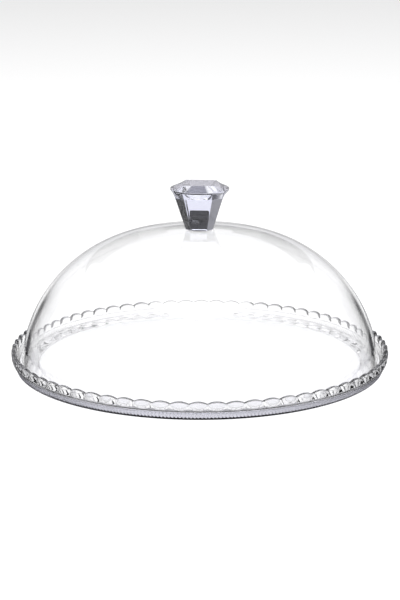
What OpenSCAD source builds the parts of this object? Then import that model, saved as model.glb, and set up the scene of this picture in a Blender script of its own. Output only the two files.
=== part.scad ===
// Low glass cake plate with a fluted petal rim, and a glass dome with a solid glass knob.
// The dome stands loose on the plate's floor and lifts straight off.
// Origin: centre of the plate's underside. +Z is up, along the common axis of plate, dome and knob.

/* [Plate] */
// Radius at the tips of the petals
plate_r = 162.5; // [162:0.5:175]
// Height of the petal tips above the underside
plate_h = 16; // [14:0.5:20]
// Thickness of the serving floor
floor_h = 5.8; // [4:0.1:7]
// Number of petals round the rim
petals = 68; // [40:4:80]
// How far the notch between two petals lies inside the petal tips
notch_depth = 1.7; // [0.5:0.1:2.5]
// How far the notch between two petals lies below the petal tips
notch_drop = 2.2; // [1:0.1:3]
// Radius of the base where it meets the table
base_r = 158.3; // [148:0.1:160]
// Height of the smooth base band below the petals
band_h = 7.8; // [6.5:0.1:9]
// Outer radius of the shallow recess under the plate
recess_r = 140; // [100:1:150]
// Depth of the recess under the plate
recess_h = 0.6; // [0.2:0.1:1.5]
// Turn of the petal row about the vertical axis, in petals
petal_turn = 0.915; // [0:0.005:1]
// Facets along each petal
petal_facets = 4; // [2:2:6]

/* [Dome] */
// Outer radius of the dome at the serving floor
dome_r = 154; // [140:0.1:154.5]
// Height of the dome over the serving floor
dome_h = 113.3; // [100:0.1:125]
// Thickness of the dome's wall
dome_wall = 3.5; // [3:0.1:5]
// Outer radius of curvature of the flat crown
crown_r = 275; // [220:1:350]
// Angle from the axis at which the crown turns into the shoulder
crown_angle = 12; // [6:0.5:14]

/* [Knob] */
// Height of the knob from the adhesive to its flat top
knob_h = 39; // [30:0.1:45]
// Half width of the stem at its foot, where it is a square with cut corners
knob_foot = 11.7; // [9:0.1:13]
// Half width at the top of the stem
knob_neck = 20.4; // [16:0.1:20.9]
// Radius of the round girdle
girdle_r = 25.1; // [24.2:0.1:28]
// Height of the girdle's upright edge
girdle_h = 1.2; // [0.8:0.1:3]
// Half width of the square flat top
table_half = 13; // [11:0.1:16]
// Rise of the bevel from the girdle to the flat top
bevel_h = 4.3; // [3:0.1:5]
// Depth of the flare between stem and girdle
flare_h = 5; // [3:0.1:6]
// Turn of the knob's flat sides about the vertical axis, in degrees
knob_turn = 4; // [0:0.5:45]
// Thickness of the clear adhesive under the knob, at the axis
bond_h = 0.4; // [0.3:0.05:0.6]

/* [Hidden] */

$fn = 180;
crown_steps = 10;
shoulder_steps = 32;
rim_steps = 9;

// Crown and shoulder arcs meet with a common tangent, and the shoulder arc runs down to dome_r.
// centre_gap is the distance between the two arcs' centres.
pole_z = floor_h + dome_h;
crown_z = pole_z - crown_r;
floor_drop = floor_h - crown_z;
centre_gap = (pow(dome_r, 2) + pow(floor_drop, 2) - pow(crown_r, 2))
    / (2 * (dome_r * sin(crown_angle) + floor_drop * cos(crown_angle) - crown_r));
shoulder_r = crown_r - centre_gap;
shoulder_x = centre_gap * sin(crown_angle);
shoulder_z = crown_z + centre_gap * cos(crown_angle);

// The dome's wall ends in a half ellipse of this height
rim_round = 1.8;
rim_z = floor_h + rim_round;
rim_angle = acos((rim_z - shoulder_z) / (shoulder_r - dome_wall / 2));
rim_x = shoulder_x + (shoulder_r - dome_wall / 2) * sin(rim_angle);

bond_r = knob_foot - 1;
knob_z = pole_z + bond_h;
girdle_z = knob_z + knob_h - bevel_h - girdle_h;
edge_r = 0.6;

// The floor's edge stands clear of the dome, and the serving floor lies inside the dome's rim
seat_gap = 1.2;
floor_r = dome_r + seat_gap;
serving_r = rim_x - dome_wall / 2 - seat_gap;

// Points of an arc about c, from angle a to angle b measured from the +Z axis
function arc(c, r, a, b, n) =
    [for (i = [0:n]) let (t = a + (b - a) * i / n) [c[0] + r * sin(t), c[1] + r * cos(t)]];

// Outline of the dome's surface at a depth d under the outer face, from the axis to the rim
function dome_line(d) = concat(
    arc([0, crown_z], crown_r - d, 0, crown_angle, crown_steps),
    [for (i = [1:shoulder_steps])
        let (t = crown_angle + (rim_angle - crown_angle) * i / shoulder_steps)
        [shoulder_x + (shoulder_r - d) * sin(t), shoulder_z + (shoulder_r - d) * cos(t)]]);

function reversed(list) = [for (i = [len(list) - 1:-1:0]) list[i]];

// Ring profile of the plate, from the recess outwards, up the petals and down to the floor.
// Each entry is [radius, height, share of notch_depth, share of notch_drop].
plate_profile = [
    [recess_r - 1, recess_h, 0, 0],
    [recess_r, 0, 0, 0],
    [base_r - 0.8, 0, 0, 0],
    [base_r, 0.8, 0, 0],
    [plate_r - 0.8, band_h - 0.4, 0, 0],
    [plate_r - 1.1, band_h, 0, 0],
    [plate_r - 0.3, band_h + 0.6, 0.15, 0],
    [plate_r, (band_h + plate_h) / 2, 0.6, 0.2],
    [plate_r - 0.3, plate_h - 1.1, 1, 0.9],
    [plate_r - 1.4, plate_h, 1, 1],
    [plate_r - 2.9, plate_h, 0.8, 1],
    [plate_r - 3.9, plate_h - 1.2, 0.6, 0.9],
    [floor_r + 0.9, floor_h + 1.4, 0, 0],
    [floor_r, floor_h, 0, 0],
    [serving_r, floor_h, 0, 0]
];
columns = petals * petal_facets;
rings = len(plate_profile);

// 0 at the middle of a petal and 1 in the notch, with a crease in the notch
function notch(i) = let (u = (i % petal_facets) / petal_facets) pow(1 - 2 * min(u, 1 - u), 2);

function plate_point(i, p) =
    let (a = (i / petal_facets + 0.5 + petal_turn) * 360 / petals,
         r = p[0] - notch_depth * p[2] * notch(i),
         z = p[1] - notch_drop * p[3] * notch(i))
    [r * sin(a), -r * cos(a), z];

module plate() {
    points = [for (p = plate_profile) for (i = [0:columns - 1]) plate_point(i, p)];
    walls = [for (k = [0:rings - 2]) for (i = [0:columns - 1])
        let (j = (i + 1) % columns, a = k * columns, b = a + columns)
        for (f = [[a + i, b + i, b + j], [a + i, b + j, a + j]]) f];
    underside = [for (i = [0:columns - 1]) i];
    serving_floor = [for (i = [columns - 1:-1:0]) (rings - 1) * columns + i];
    color([0.86, 0.89, 0.92, 0.5])
        polyhedron(points, concat(walls, [underside, serving_floor]), convexity = 4);
}

module dome() {
    // The middle facet of the rim lies flat on the serving floor
    rim = [for (i = [1:rim_steps - 1])
        let (t = 90 - 180 * i / rim_steps)
        [rim_x + dome_wall / 2 * sin(t), rim_z - rim_round * cos(t) / cos(90 / rim_steps)]];
    color([0.88, 0.91, 0.94, 0.35])
        rotate_extrude()
            polygon(concat(dome_line(0), rim, reversed(dome_line(dome_wall))));
}

module knob_bond() {
    crown_part = arc([0, crown_z], crown_r, 0, asin(bond_r / crown_r), 1);
    color([0.9, 0.92, 0.94, 0.6])
        rotate_extrude()
            polygon(concat(crown_part, [[bond_r, knob_z], [0, knob_z]]));
}

// Plan shapes of half width 1, as the distance from the axis at an angle t
function square(t) = 1 / max(abs(cos(t)), abs(sin(t)));
function cut_square(t) = min(square(t), (1 + tan(30)) / (abs(cos(t)) + abs(sin(t))));

module knob() {
    // Half width, height and plan of each section from the foot up: 0 cut square, 1 round, 2 square
    sections = [
        [knob_foot - edge_r, knob_z, 0],
        [knob_foot, knob_z + edge_r, 0],
        [knob_neck, girdle_z - flare_h, 0],
        [girdle_r, girdle_z, 1],
        [girdle_r, girdle_z + girdle_h, 1],
        [table_half, knob_z + knob_h, 2]
    ];
    sides = 24;
    top = sides * (len(sections) - 1);
    points = [for (s = sections) for (i = [0:sides - 1])
        let (t = i * 360 / sides,
             r = s[0] * [cut_square(t), 1, square(t)][s[2]])
        [r * sin(t - knob_turn), -r * cos(t - knob_turn), s[1]]];
    walls = [for (a = [0:sides:top - sides]) for (i = [0:sides - 1])
        let (j = (i + 1) % sides, b = a + sides)
        for (f = [[a + i, b + i, b + j], [a + i, b + j, a + j]]) f];
    foot = [for (i = [0:sides - 1]) i];
    table = [for (i = [sides - 1:-1:0]) top + i];
    color([0.62, 0.64, 0.72, 0.7])
        polyhedron(points, concat(walls, [foot, table]), convexity = 4);
}

plate();
dome();
knob_bond();
knob();
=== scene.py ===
"""Clear glass cake plate with a glass dome and knob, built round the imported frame. Metres, +Z up."""

import math

import bpy
import numpy as np
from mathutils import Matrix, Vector


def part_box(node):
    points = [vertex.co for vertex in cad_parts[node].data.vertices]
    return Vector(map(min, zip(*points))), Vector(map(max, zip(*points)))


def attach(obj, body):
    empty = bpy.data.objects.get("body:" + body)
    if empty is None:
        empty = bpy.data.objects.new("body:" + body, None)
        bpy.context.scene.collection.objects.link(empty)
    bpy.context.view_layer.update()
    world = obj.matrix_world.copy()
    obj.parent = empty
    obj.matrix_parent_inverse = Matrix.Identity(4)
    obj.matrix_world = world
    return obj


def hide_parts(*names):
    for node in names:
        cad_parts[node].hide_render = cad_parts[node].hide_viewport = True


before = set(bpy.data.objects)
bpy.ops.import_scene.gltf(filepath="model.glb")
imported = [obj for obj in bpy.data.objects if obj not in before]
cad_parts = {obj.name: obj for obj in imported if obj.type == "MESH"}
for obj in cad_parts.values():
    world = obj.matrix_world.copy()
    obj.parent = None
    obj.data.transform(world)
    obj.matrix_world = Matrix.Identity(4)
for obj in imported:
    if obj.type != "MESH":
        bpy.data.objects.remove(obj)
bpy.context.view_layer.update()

MM = 0.001


# ---------------------------------------------------------------- camera

CAMERA_PITCH = math.radians(14.85)
CAMERA_DISTANCE = 1.630
CAMERA_LENS = 113.7
SENSOR_WIDTH = 36.0
LOOK_AT = Vector((0.0002, 0.0, 0.0559))


def make_camera():
    forward = Vector((0.0, math.cos(CAMERA_PITCH), -math.sin(CAMERA_PITCH)))
    data = bpy.data.cameras.new("camera")
    data.lens = CAMERA_LENS
    data.sensor_width = SENSOR_WIDTH
    data.clip_start, data.clip_end = 0.01, 100.0
    camera = bpy.data.objects.new("camera", data)
    bpy.context.scene.collection.objects.link(camera)
    camera.location = LOOK_AT - forward * CAMERA_DISTANCE
    camera.rotation_mode = "QUATERNION"
    camera.rotation_quaternion = forward.to_track_quat("-Z", "Y")
    bpy.context.scene.camera = camera


# ---------------------------------------------------------------- mesh helpers

def new_piece(name, points, faces, material):
    mesh = bpy.data.meshes.new(name)
    mesh.from_pydata([tuple(p) for p in points], [], faces)
    mesh.validate()
    mesh.shade_smooth()
    mesh.materials.append(material)
    piece = bpy.data.objects.new(name, mesh)
    bpy.context.scene.collection.objects.link(piece)
    return piece


def lathe_faces(points, columns, first_z, last_z):
    """Faces over rings of `columns` points each, closed by fans round two points that it adds on the axis.

    They face out when the rings run downwards on the outside.
    """
    faces = []
    last = len(points) - columns
    for a in range(0, last, columns):
        for i in range(columns):
            j = (i + 1) % columns
            faces.append((a + i, a + columns + i, a + columns + j, a + j))
    start, end = len(points), len(points) + 1
    points += [(0.0, 0.0, first_z), (0.0, 0.0, last_z)]
    for i in range(columns):
        j = (i + 1) % columns
        faces.append((start, i, j))
        faces.append((end, last + j, last + i))
    return faces


def arc(centre, radius, start, end, steps):
    """Points (radius, height) of an arc; angles are measured from +Z, in radians."""
    return [
        (centre[0] + radius * math.sin(t), centre[1] + radius * math.cos(t))
        for t in np.linspace(start, end, steps + 1)
    ]


def rounded(corners, radii, steps=8, hold=0.12 * MM):
    """The open polyline through corners with each inner corner rounded to its radius.

    A point just outside each rounding keeps the straight runs flat under smooth shading.
    """
    out = [corners[0]]
    for k in range(1, len(corners) - 1):
        p, a, b = (np.array(corners[m], float) for m in (k, k - 1, k + 1))
        to_a, to_b = (a - p) / np.linalg.norm(a - p), (b - p) / np.linalg.norm(b - p)
        half = math.acos(max(-1.0, min(1.0, float(to_a @ to_b)))) / 2
        reach = radii[k - 1] / math.tan(half)
        start, end = p + to_a * reach, p + to_b * reach
        out.append(tuple(start + to_a * hold))
        for s in np.linspace(0, 1, steps + 1):
            out.append(tuple((1 - s) ** 2 * start + 2 * s * (1 - s) * p + s * s * end))
        out.append(tuple(end + to_b * hold))
    out.append(corners[-1])
    return out


def spline(controls, steps):
    """Uniform cubic B-spline through the first and last control row, all channels at once."""
    c = np.array([controls[0]] * 2 + list(controls) + [controls[-1]] * 2, float)
    rows = []
    for k in range(1, len(c) - 2):
        for s in np.linspace(0, 1, steps, endpoint=False):
            weights = np.array([
                (1 - s) ** 3,
                3 * s**3 - 6 * s**2 + 4,
                -3 * s**3 + 3 * s**2 + 3 * s + 1,
                s**3,
            ]) / 6
            rows.append(weights @ c[k - 1:k + 3])
    rows.append(np.array(controls[-1], float))
    return np.array(rows)


# ---------------------------------------------------------------- node helpers

def grey(value):
    return (value, value, value)


def feed(links, value, socket):
    """Link value to the socket where it is a socket itself, else set it as the socket's constant."""
    if isinstance(value, bpy.types.NodeSocket):
        links.new(value, socket)
    else:
        socket.default_value = (*value, 1) if isinstance(value, tuple) else value


def ramp(nodes, links, value, stops):
    """Colour ramp over value; stops are (position, colour)."""
    node = nodes.new("ShaderNodeValToRGB")
    elements = node.color_ramp.elements
    for element, (position, colour) in zip(elements, (stops[0], stops[-1])):
        element.position, element.color = position, (*colour, 1)
    for position, colour in stops[1:-1]:
        elements.new(position).color = (*colour, 1)
    links.new(value, node.inputs[0])
    return node.outputs[0]


def maths(nodes, links, operation, a, b):
    node = nodes.new("ShaderNodeMath")
    node.operation = operation
    feed(links, a, node.inputs[0])
    feed(links, b, node.inputs[1])
    return node.outputs[0]


def mix_colours(nodes, links, share, a, b, blend="MIX"):
    node = nodes.new("ShaderNodeMix")
    node.data_type = "RGBA"
    node.blend_type = blend
    for name, value in (("Factor", share), ("A", a), ("B", b)):
        feed(links, value, node.inputs[name])
    return node.outputs["Result"]


def mix_shaders(nodes, links, share, a, b):
    node = nodes.new("ShaderNodeMixShader")
    for socket, value in zip(node.inputs, (share, a, b)):
        links.new(value, socket)
    return node.outputs[0]


def smoothstep(nodes, links, value, start, end, most=1.0):
    """0 where value is start, `most` where it is end, and a smooth passage between."""
    node = nodes.new("ShaderNodeMapRange")
    node.interpolation_type = "SMOOTHSTEP"
    node.inputs["From Min"].default_value = start
    node.inputs["From Max"].default_value = end
    feed(links, most, node.inputs["To Max"])
    links.new(value, node.inputs["Value"])
    return node.outputs["Result"]


# ---------------------------------------------------------------- glass

GLASS_IOR = 1.5
WHITE = grey(1.0)
# What shadow and diffuse light keeps when it passes one face of the glass
SHADOW_TINT = (0.985, 0.985, 0.99)
# A face looks outwards if its normal times its place, both level, is over this, in metres
OUTWARDS = 0.01
# The dome's painted edge shade passes over to the painted dark line of its lower part between these heights
LOW_FROM = 82 * MM
LOW_TO = 58 * MM
# The plate's painted bands of light and shade go by height in shares of this
BAND_REACH = 16 * MM
# The petals' tops: from this height, from this upward share of the normal, and their painted shade, a dark
# line
TOPS_HEIGHT = (12.8 * MM, 13.4 * MM)
TOPS_UPWARD = (0.2, 0.6)
TOPS_PAINTED_SHADE = (0.10, 0.10, 0.11)


def outward_faces(nodes, links, coords):
    """1 where the surface faces away from the upright axis, else 0."""
    sideways = nodes.new("ShaderNodeVectorMath")
    sideways.operation = "MULTIPLY"
    sideways.inputs[1].default_value = (1, 1, 0)
    links.new(coords.outputs["Object"], sideways.inputs[0])
    outwards = nodes.new("ShaderNodeVectorMath")
    outwards.operation = "DOT_PRODUCT"
    links.new(coords.outputs["Normal"], outwards.inputs[0])
    links.new(sideways.outputs[0], outwards.inputs[1])
    return maths(nodes, links, "GREATER_THAN", outwards.outputs["Value"], OUTWARDS)


def petal_tops(nodes, links, coords, height):
    """1 on the narrow tops of the petals, else 0."""
    normal = nodes.new("ShaderNodeSeparateXYZ")
    links.new(coords.outputs["Normal"], normal.inputs[0])
    high = smoothstep(nodes, links, height, *TOPS_HEIGHT)
    return smoothstep(nodes, links, normal.outputs["Z"], *TOPS_UPWARD, most=high)


def glass(name, edge, roughness, low_edge=None, bands=None, outer_edge=None):
    """Clear glass with painted light and shade. Where it is met at a slant its colour follows the stops in
    edge, by Layer Weight facing, as painted reflections and painted dark edges.

    With low_edge, only outward faces get this painted shade, and low down they take the stops in low_edge, a
    painted dark line. With bands, outward faces take outer_edge times the stops in bands, which go by height
    and paint light and dark lines, and the petals' tops are painted darker.
    """
    material = bpy.data.materials.new(name)
    material.use_nodes = True
    nodes, links = material.node_tree.nodes, material.node_tree.links
    shader = nodes["Principled BSDF"]
    shader.inputs["Roughness"].default_value = roughness
    shader.inputs["IOR"].default_value = GLASS_IOR
    shader.inputs["Transmission Weight"].default_value = 1.0
    facing = nodes.new("ShaderNodeLayerWeight").outputs["Facing"]
    # Painted light and shade by slant: painted reflections and painted dark edges
    colour = ramp(nodes, links, facing, edge)
    if low_edge or bands:
        coords = nodes.new("ShaderNodeTexCoord")
        split = nodes.new("ShaderNodeSeparateXYZ")
        links.new(coords.outputs["Object"], split.inputs[0])
        height = split.outputs["Z"]
        outside = outward_faces(nodes, links, coords)
        if low_edge:
            low = smoothstep(nodes, links, height, LOW_FROM, LOW_TO)
            tint = mix_colours(nodes, links, low, colour, ramp(nodes, links, facing, low_edge))
            colour = mix_colours(nodes, links, outside, WHITE, tint)
        else:
            share = maths(nodes, links, "DIVIDE", height, BAND_REACH)
            slant, band = ramp(nodes, links, facing, outer_edge), ramp(nodes, links, share, bands)
            tint = mix_colours(nodes, links, 1.0, slant, band, "MULTIPLY")
            colour = mix_colours(nodes, links, outside, colour, tint)
            # Painted dark line along the petals' tops
            tops = petal_tops(nodes, links, coords, height)
            colour = mix_colours(nodes, links, tops, colour, TOPS_PAINTED_SHADE)
    links.new(colour, shader.inputs["Base Color"])
    clear = nodes.new("ShaderNodeBsdfTransparent")
    clear.inputs["Color"].default_value = (*SHADOW_TINT, 1)
    path = nodes.new("ShaderNodeLightPath")
    surface = shader.outputs[0]
    for ray in ("Is Shadow Ray", "Is Diffuse Ray"):
        surface = mix_shaders(nodes, links, path.outputs[ray], surface, clear.outputs[0])
    links.new(surface, nodes["Material Output"].inputs["Surface"])
    return material


# ---------------------------------------------------------------- plate

PETALS = 68
PETAL_TURN = 0.915
COLUMNS_PER_PETAL = 20
NOTCH_DEPTH = 1.7 * MM
NOTCH_DROP = 2.2 * MM
RIBS = 5  # on the base band, under each petal
RIB_DEPTH = 0.6 * MM
RIB_SLANT = 0.12  # ribs that a rib moves along for each millimetre of height
BAND_HEIGHT = 7.8 * MM
BASE_INSET = 4.2 * MM  # of the base's edge from the petals' tips
SEAT_GAP = 1.5 * MM  # between the dome and the edge of the floor
RECESS_RADIUS = 140 * MM

# Painted dark edges: the plate is painted darker where it is met at a slant
PLATE_PAINTED_EDGE = ((0.0, grey(0.98)), (0.76, grey(0.97)), (0.80, grey(0.55)), (0.88, grey(0.20)), (1.0, grey(0.10)))
# By height: painted shade low on the base band, then a painted highlight line and a painted dark line at its
# top
PLATE_PAINTED_BANDS = (
    (0.0, (0.80, 0.80, 0.84)),
    (0.05, (0.66, 0.66, 0.74)),
    (0.12, (0.56, 0.56, 0.66)),
    (0.42, (0.62, 0.62, 0.72)),
    (0.45, (0.98, 0.98, 0.98)),
    (0.47, (0.98, 0.98, 0.98)),
    (0.49, (0.22, 0.22, 0.24)),
    (0.52, (0.22, 0.22, 0.24)),
    (0.55, (0.97, 0.97, 0.98)),
    (1.0, (0.97, 0.97, 0.98)),
)
# Painted dark edges on the outward faces, darker towards the silhouette
PLATE_OUTER_PAINTED_EDGE = (
    (0.0, grey(0.98)),
    (0.22, grey(0.95)),
    (0.36, grey(0.62)),
    (0.60, grey(0.36)),
    (0.85, grey(0.22)),
    (1.0, grey(0.10)),
)


def make_plate(material):
    """The plate, ring by ring from the recess under it, up over the petals and in to the serving floor."""
    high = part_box("plate")[1]
    dome_low, dome_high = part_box("dome")
    tip, top = high.x, high.z
    floor = dome_low.z
    seat = dome_high.x + SEAT_GAP
    band = BAND_HEIGHT
    base = tip - BASE_INSET
    # Each row: radius, height, share of the notch's depth, share of its drop, share of the ribs' depth
    controls = [
        (base - 2.0 * MM, 0.0, 0, 0, 0),
        (base - 0.5 * MM, 0.0, 0, 0, 0),
        (base - 0.1 * MM, 0.02 * MM, 0, 0, 0),
        (base + 0.05 * MM, 0.35 * MM, 0, 0, 0.5),
        (base + 0.3 * MM, 1.2 * MM, 0, 0, 1),
        (base + 1.6 * MM, 4.0 * MM, 0, 0, 1),
        (tip - 0.9 * MM, band - 0.8 * MM, 0, 0, 1),
        (tip - 0.8 * MM, band - 0.3 * MM, 0, 0, 0),
        (tip - 1.4 * MM, band - 0.1 * MM, 0, 0, 0),
        (tip - 1.4 * MM, band + 0.2 * MM, 0.0, 0, 0),
        (tip - 0.6 * MM, band + 0.5 * MM, 0.1, 0, 0),
        (tip - 0.1 * MM, band + 1.6 * MM, 0.4, 0.05, 0),
        (tip, band + 3.4 * MM, 0.75, 0.25, 0),
        (tip, top - 2.2 * MM, 1, 0.7, 0),
        (tip - 0.2 * MM, top - 0.9 * MM, 1, 0.95, 0),
        (tip - 0.7 * MM, top - 0.05 * MM, 1, 1, 0),
        (tip - 1.6 * MM, top, 1, 1, 0),
        (tip - 2.4 * MM, top, 0.7, 1, 0),
        (tip - 3.3 * MM, top - 0.3 * MM, 0.45, 1, 0),
        (tip - 3.9 * MM, top - 1.3 * MM, 0.2, 0.8, 0),
        (tip - 4.5 * MM, top - 4.0 * MM, 0.05, 0.2, 0),
        (seat + 0.8 * MM, floor + 1.6 * MM, 0, 0, 0),
        (seat + 0.3 * MM, floor + 0.3 * MM, 0, 0, 0),
        (seat - 0.6 * MM, floor, 0, 0, 0),
        (seat - 2.0 * MM, floor, 0, 0, 0),
    ]
    recess = [
        (RECESS_RADIUS - 6 * MM, 0.6 * MM, 0, 0, 0),
        (RECESS_RADIUS - 3.5 * MM, 0.6 * MM, 0, 0, 0),
        (RECESS_RADIUS - 2.2 * MM, 0.57 * MM, 0, 0, 0),
        (RECESS_RADIUS - 1.2 * MM, 0.45 * MM, 0, 0, 0),
        (RECESS_RADIUS - 0.3 * MM, 0.08 * MM, 0, 0, 0),
        (RECESS_RADIUS, 0.0, 0, 0, 0),
    ]
    rows = np.vstack([recess, spline(controls, 4), [(seat - 6 * MM, floor, 0, 0, 0)]])
    columns = PETALS * COLUMNS_PER_PETAL
    i = np.arange(columns)
    along = (i % COLUMNS_PER_PETAL) / COLUMNS_PER_PETAL
    notch = (1 - 2 * np.minimum(along, 1 - along)) ** 2
    angle = (i / COLUMNS_PER_PETAL + 0.5 + PETAL_TURN) * 2 * math.pi / PETALS
    points = []
    for r, z, depth, drop, rib in rows:
        wave = 0.5 - 0.5 * np.cos(2 * math.pi * (RIBS * along + RIB_SLANT * z / MM))
        radius = r - NOTCH_DEPTH * depth * notch - RIB_DEPTH * rib * wave
        height = z - NOTCH_DROP * drop * notch
        points += list(zip(radius * np.sin(angle), -radius * np.cos(angle), height))
    # The rings run upwards on the outside, so the faces are turned over
    faces = [face[::-1] for face in lathe_faces(points, columns, recess[0][1], floor)]
    return new_piece("plate_glass", points, faces, material)


# ---------------------------------------------------------------- dome

CROWN_RADIUS = 275 * MM
CROWN_ANGLE = math.radians(12)
CROWN_STEPS = 24
SHOULDER_STEPS = 80
WALL = 3.5 * MM
RIM_ROUND = 1.8 * MM
DOME_FOOT_R = 154 * MM
DOME_COLUMNS = 256

# Painted dark outline: the dome is painted darker towards its silhouette
DOME_PAINTED_EDGE = (
    (0.0, grey(1.0)),
    (0.60, grey(1.0)),
    (0.72, grey(0.93)),
    (0.78, grey(0.80)),
    (0.88, grey(0.85)),
    (0.93, grey(0.30)),
    (1.0, grey(0.10)),
)
# Painted dark line, darkest at the slant at which the inner face shows, just inside the silhouette
DOME_LOW_PAINTED_EDGE = (
    (0.0, grey(1.0)),
    (0.55, grey(0.98)),
    (0.58, grey(0.80)),
    (0.64, grey(0.72)),
    (0.70, grey(0.42)),
    (0.735, grey(0.16)),
    (0.75, grey(0.02)),
    (0.77, grey(0.002)),
    (0.80, grey(0.002)),
    (0.82, grey(0.06)),
    (0.84, grey(0.7)),
    (0.86, grey(1.0)),
    (1.0, grey(1.0)),
)


def make_dome(material):
    """A flat crown arc and a shoulder arc that meet with a common tangent, and a rounded rim."""
    low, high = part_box("dome")
    pole, floor = high.z, low.z
    crown_z = pole - CROWN_RADIUS
    drop = floor - crown_z
    gap = (DOME_FOOT_R**2 + drop**2 - CROWN_RADIUS**2) / (
        2 * (DOME_FOOT_R * math.sin(CROWN_ANGLE) + drop * math.cos(CROWN_ANGLE) - CROWN_RADIUS)
    )
    shoulder_r = CROWN_RADIUS - gap
    centre = (gap * math.sin(CROWN_ANGLE), crown_z + gap * math.cos(CROWN_ANGLE))
    rim_z = floor + RIM_ROUND
    rim_angle = math.acos((rim_z - centre[1]) / (shoulder_r - WALL / 2))
    rim_x = centre[0] + (shoulder_r - WALL / 2) * math.sin(rim_angle)

    def face(depth):
        crown = arc((0, crown_z), CROWN_RADIUS - depth, 0, CROWN_ANGLE, CROWN_STEPS)
        shoulder = arc(centre, shoulder_r - depth, CROWN_ANGLE, rim_angle, SHOULDER_STEPS)
        return crown + shoulder[1:]

    rim = [
        (rim_x + WALL / 2 * math.sin(t), rim_z - RIM_ROUND * math.cos(t))
        for t in np.linspace(math.pi / 2, -math.pi / 2, 17)[1:-1]
    ]
    outline = face(0) + rim + face(WALL)[::-1]
    angles = np.arange(DOME_COLUMNS) * 2 * math.pi / DOME_COLUMNS
    points = [(r * math.sin(a), -r * math.cos(a), z) for r, z in outline[1:-1] for a in angles]
    faces = lathe_faces(points, DOME_COLUMNS, outline[0][1], outline[-1][1])
    return new_piece("dome_glass", points, faces, material)


# ---------------------------------------------------------------- knob

KNOB_TURN = math.radians(4)
KNOB_CORNER = 80  # the higher, the sharper the upright edges
KNOB_CUT = math.radians(30)  # from the middle of a flat side to the edge of its cut corner
TABLE_HALF = 13.0 * MM
GIRDLE_RADIUS = 25.0 * MM
GIRDLE_DROP = 5.5 * MM  # of the girdle's lower edge under the flat top
GIRDLE_HEIGHT = 1.2 * MM
FLARE_HEIGHT = 5.0 * MM
NECK_HALF = 20.4 * MM
FOOT_HALF = 11.65 * MM
FOOT_BEVEL = 0.3 * MM
KNOB_ROUNDING = [0.4 * MM, 0.2 * MM, 0.2 * MM, 0.5 * MM, 0.1 * MM, 0.1 * MM]

# Painted reflections and shade in the knob by slant: pale lilac and white painted reflections, a painted dark
# strip and painted dark edges
KNOB_PAINTED_EDGE = (
    (0.0, (0.80, 0.81, 0.92)),
    (0.30, (0.72, 0.73, 0.84)),
    (0.40, (0.75, 0.75, 0.82)),
    (0.425, (1.0, 1.0, 1.0)),
    (0.45, (0.95, 0.95, 0.95)),
    (0.465, (0.10, 0.10, 0.13)),
    (0.52, (0.20, 0.20, 0.24)),
    (0.60, (0.70, 0.70, 0.75)),
    (0.76, (0.32, 0.30, 0.33)),
    (0.88, (0.12, 0.12, 0.14)),
    (1.0, (0.03, 0.03, 0.04)),
)


def knob_plan():
    """Angles round the knob, denser at its upright edges, and its three plans of half width 1."""
    near = [0, 0.4, 1, 1.8, 3]
    degrees = {round(d, 2) for d in np.arange(0, 360, 3.0)}
    for quarter in range(0, 360, 90):
        for edge in (30, 45, 60):
            degrees |= {round((quarter + edge + side * d) % 360, 2) for d in near for side in (-1, 1)}
    t = np.radians(sorted(degrees))
    x, y = np.abs(np.sin(t)), np.abs(np.cos(t))
    cut = (x + y) / (1 + math.tan(KNOB_CUT))
    square = (x**KNOB_CORNER + y**KNOB_CORNER) ** (-1 / KNOB_CORNER)
    cut_square = (x**KNOB_CORNER + y**KNOB_CORNER + cut**KNOB_CORNER) ** (-1 / KNOB_CORNER)
    return t - KNOB_TURN, cut_square, np.ones(len(t)), square


def make_knob(material):
    """A stem of cut square plan that flares to the round girdle, and a bevel up to the square flat top."""
    low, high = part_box("knob")
    foot, top = low.z, high.z
    girdle_z = top - GIRDLE_DROP
    neck_z = girdle_z - FLARE_HEIGHT
    outline = rounded(
        [
            (0, top),
            (TABLE_HALF, top),
            (GIRDLE_RADIUS, girdle_z + GIRDLE_HEIGHT),
            (GIRDLE_RADIUS, girdle_z),
            (NECK_HALF, neck_z),
            (FOOT_HALF, foot + FOOT_BEVEL),
            (FOOT_HALF - FOOT_BEVEL, foot),
            (0, foot),
        ],
        KNOB_ROUNDING,
    )
    angle, cut_square, circle, square = knob_plan()
    points = []
    for half, z in outline[1:-1]:
        if z <= girdle_z:
            share = min(1.0, max(0.0, (z - neck_z) / (girdle_z - neck_z)))
            r = half * (cut_square * (1 - share) + circle * share)
        else:
            share = min(1.0, max(0.0, (z - girdle_z - GIRDLE_HEIGHT) / (top - girdle_z - GIRDLE_HEIGHT)))
            r = half * (circle * (1 - share) + square * share)
        points += [(x, y, z) for x, y in zip(r * np.sin(angle), -r * np.cos(angle))]
    faces = lathe_faces(points, len(angle), top, foot)
    return new_piece("knob_glass", points, faces, material)


# ---------------------------------------------------------------- stage

FLOOR_RADIUS = 12
FLOOR_SIDES = 96
FLOOR_Z = -0.0002
FLOOR_SEEN = (0.95, 0.95, 0.95)
# By distance from the middle, in shares of FLOOR_MIRRORED_REACH: a painted darker floor that only glass
# mirrors, darkest in a painted shadow ring round the part
FLOOR_MIRRORED = (
    (0.08, (0.16, 0.16, 0.17)),
    (0.165, (0.06, 0.06, 0.07)),
    (0.20, (0.50, 0.50, 0.51)),
    (0.5, (0.55, 0.55, 0.56)),
    (1.0, (0.45, 0.45, 0.46)),
)
FLOOR_MIRRORED_REACH = 2.0
SKY_SEEN = (1.2, 1.2, 1.2)
SKY_ON_FLOOR = (0.75, 0.75, 0.75)
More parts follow.
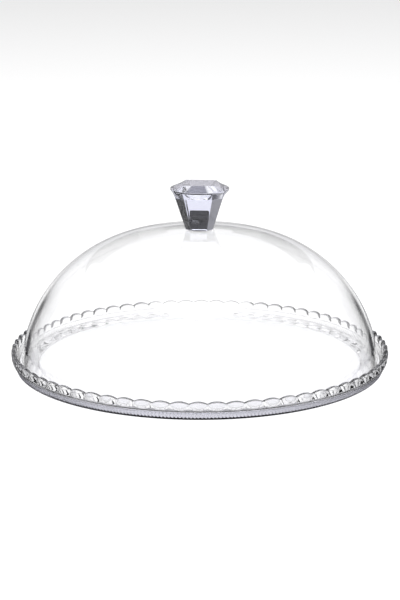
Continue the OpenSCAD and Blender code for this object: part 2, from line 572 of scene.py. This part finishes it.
# By how far the direction goes along SKY_THROUGH_AXIS
SKY_THROUGH = (
    (0.0, (1.03, 1.03, 1.06)),
    (0.40, (0.97, 0.97, 1.0)),
    (0.62, (0.90, 0.90, 0.92)),
    (0.75, (0.30, 0.30, 0.33)),
    (0.86, (0.10, 0.10, 0.11)),
    (1.0, (0.08, 0.08, 0.09)),
)
SKY_THROUGH_AXIS = (0.0, -0.5, 0.866)
# By how far the direction goes up
SKY_MIRRORED = (
    (0.0, (0.5, 0.5, 0.51)),
    (0.05, (0.6, 0.6, 0.61)),
    (0.25, (0.65, 0.65, 0.67)),
    (0.6, (0.5, 0.5, 0.52)),
    (1.0, (1.0, 1.0, 1.0)),
)
CARD_NEAR = 0.165
CARD_FAR = 0.205
CARD_STEPS = 96
# Each card: name, distance, lower and upper edge, first and last angle in degrees from +Y, colour
CARDS = (
    ("low_card", 0.20, (0.128, 0.1572), (-180, 180), grey(0.03)),
    ("right_card", 0.197, (0.128, 0.190), (12, 55), grey(0.005)),
    ("left_card", 0.197, (0.128, 0.190), (-55, -12), grey(0.30)),
)


def make_floor():
    """Pale floor. Where glass mirrors it, it is painted darker than where it is seen directly, with a painted
    shadow ring round the part.
    """
    material = bpy.data.materials.new("floor")
    material.use_nodes = True
    nodes, links = material.node_tree.nodes, material.node_tree.links
    shader = nodes["Principled BSDF"]
    shader.inputs["Roughness"].default_value = 0.7
    shader.inputs["Specular IOR Level"].default_value = 0.0
    path = nodes.new("ShaderNodeLightPath")
    coords = nodes.new("ShaderNodeTexCoord")
    length = nodes.new("ShaderNodeVectorMath")
    length.operation = "LENGTH"
    links.new(coords.outputs["Object"], length.inputs[0])
    share = maths(nodes, links, "DIVIDE", length.outputs["Value"], FLOOR_MIRRORED_REACH)
    mirrored = ramp(nodes, links, share, FLOOR_MIRRORED)
    colour = mix_colours(nodes, links, path.outputs["Is Reflection Ray"], FLOOR_SEEN, mirrored)
    links.new(colour, shader.inputs["Base Color"])
    angles = [i * 2 * math.pi / FLOOR_SIDES for i in range(FLOOR_SIDES)]
    points = [(FLOOR_RADIUS * math.cos(a), FLOOR_RADIUS * math.sin(a), FLOOR_Z) for a in angles]
    floor = new_piece("floor", points, [tuple(range(FLOOR_SIDES))], material)


def make_card(name, distance, height, span, colour):
    """Upright curved dark card round the part, like a studio flag beside glass, that puts painted dark
    reflections into the glass.

    It shows only to light that has come CARD_NEAR to CARD_FAR on its last stretch, which fits the light that
    leaves the knob at rest. To other light it is clear. The lifted dome still shows a little of it.
    """
    material = bpy.data.materials.new(name)
    material.use_nodes = True
    nodes, links = material.node_tree.nodes, material.node_tree.links
    nodes.remove(nodes["Principled BSDF"])
    paint = nodes.new("ShaderNodeEmission")
    paint.inputs["Color"].default_value = (*colour, 1)
    clear = nodes.new("ShaderNodeBsdfTransparent")
    stretch = nodes.new("ShaderNodeLightPath").outputs["Ray Length"]
    beyond = maths(nodes, links, "GREATER_THAN", stretch, CARD_NEAR)
    within = maths(nodes, links, "LESS_THAN", stretch, CARD_FAR)
    shown = maths(nodes, links, "MULTIPLY", beyond, within)
    surface = mix_shaders(nodes, links, shown, clear.outputs[0], paint.outputs[0])
    links.new(surface, nodes["Material Output"].inputs["Surface"])
    start, end = span
    points, faces = [], []
    for i in range(CARD_STEPS + 1):
        a = math.radians(start + (end - start) * i / CARD_STEPS)
        x, y = distance * math.sin(a), distance * math.cos(a)
        points += [(x, y, height[0]), (x, y, height[1])]
        if i:
            faces.append((2 * i - 2, 2 * i, 2 * i + 1, 2 * i - 1))
    card = new_piece(name, points, faces, material)
    card.visible_camera = card.visible_diffuse = card.visible_shadow = card.visible_glossy = False


def make_world():
    """White to the camera, and dimmer where it lights the floor and where glass mirrors it.

    Seen through glass it is white low down, and dark high up on the side of the photograph's camera.
    """
    world = bpy.data.worlds.new("studio")
    world.use_nodes = True
    nodes, links = world.node_tree.nodes, world.node_tree.links
    coords = nodes.new("ShaderNodeTexCoord")
    split = nodes.new("ShaderNodeSeparateXYZ")
    links.new(coords.outputs["Generated"], split.inputs[0])
    path = nodes.new("ShaderNodeLightPath")
    along = nodes.new("ShaderNodeVectorMath")
    along.operation = "DOT_PRODUCT"
    along.inputs[1].default_value = SKY_THROUGH_AXIS
    links.new(coords.outputs["Generated"], along.inputs[0])
    colour = ramp(nodes, links, along.outputs["Value"], SKY_THROUGH)
    mirrored = ramp(nodes, links, split.outputs["Z"], SKY_MIRRORED)
    for ray, other in (
        ("Is Reflection Ray", mirrored),
        ("Is Diffuse Ray", SKY_ON_FLOOR),
        ("Is Camera Ray", SKY_SEEN),
    ):
        colour = mix_colours(nodes, links, path.outputs[ray], colour, other)
    links.new(colour, nodes["Background"].inputs[0])
    bpy.context.scene.world = world


def make_lights():
    data = bpy.data.lights.new("softbox", "AREA")
    data.shape = "DISK"
    data.size = 2.4
    data.energy = 42
    lamp = bpy.data.objects.new("softbox", data)
    lamp.location = (0, 0, 2.6)
    bpy.context.scene.collection.objects.link(lamp)


make_camera()
make_floor()
for card in CARDS:
    make_card(*card)
make_world()
make_lights()


# ---------------------------------------------------------------- pieces

plate = make_plate(glass("plate_glass", PLATE_PAINTED_EDGE, 0.0, bands=PLATE_PAINTED_BANDS, outer_edge=PLATE_OUTER_PAINTED_EDGE))
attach(plate, "base")
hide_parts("plate")

dome = make_dome(glass("dome_glass", DOME_PAINTED_EDGE, 0.0, low_edge=DOME_LOW_PAINTED_EDGE))
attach(dome, "cover")
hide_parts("dome")

knob = make_knob(glass("knob_glass", KNOB_PAINTED_EDGE, 0.0))
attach(knob, "cover")
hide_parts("knob")

# Grey glass tint, painted a little darker where met at a slant
ADHESIVE_PAINTED_EDGE = ((0.0, grey(0.95)), (1.0, grey(0.9)))
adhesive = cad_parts["knob_bond"].data.materials
adhesive.clear()
adhesive.append(glass("clear_adhesive", ADHESIVE_PAINTED_EDGE, 0.05))

scene = bpy.context.scene
scene.view_settings.view_transform = "Standard"
scene.cycles.max_bounces = 24
scene.cycles.transmission_bounces = 24
scene.cycles.glossy_bounces = 8
scene.cycles.transparent_max_bounces = 24
scene.cycles.caustics_refractive = False
scene.cycles.caustics_reflective = False
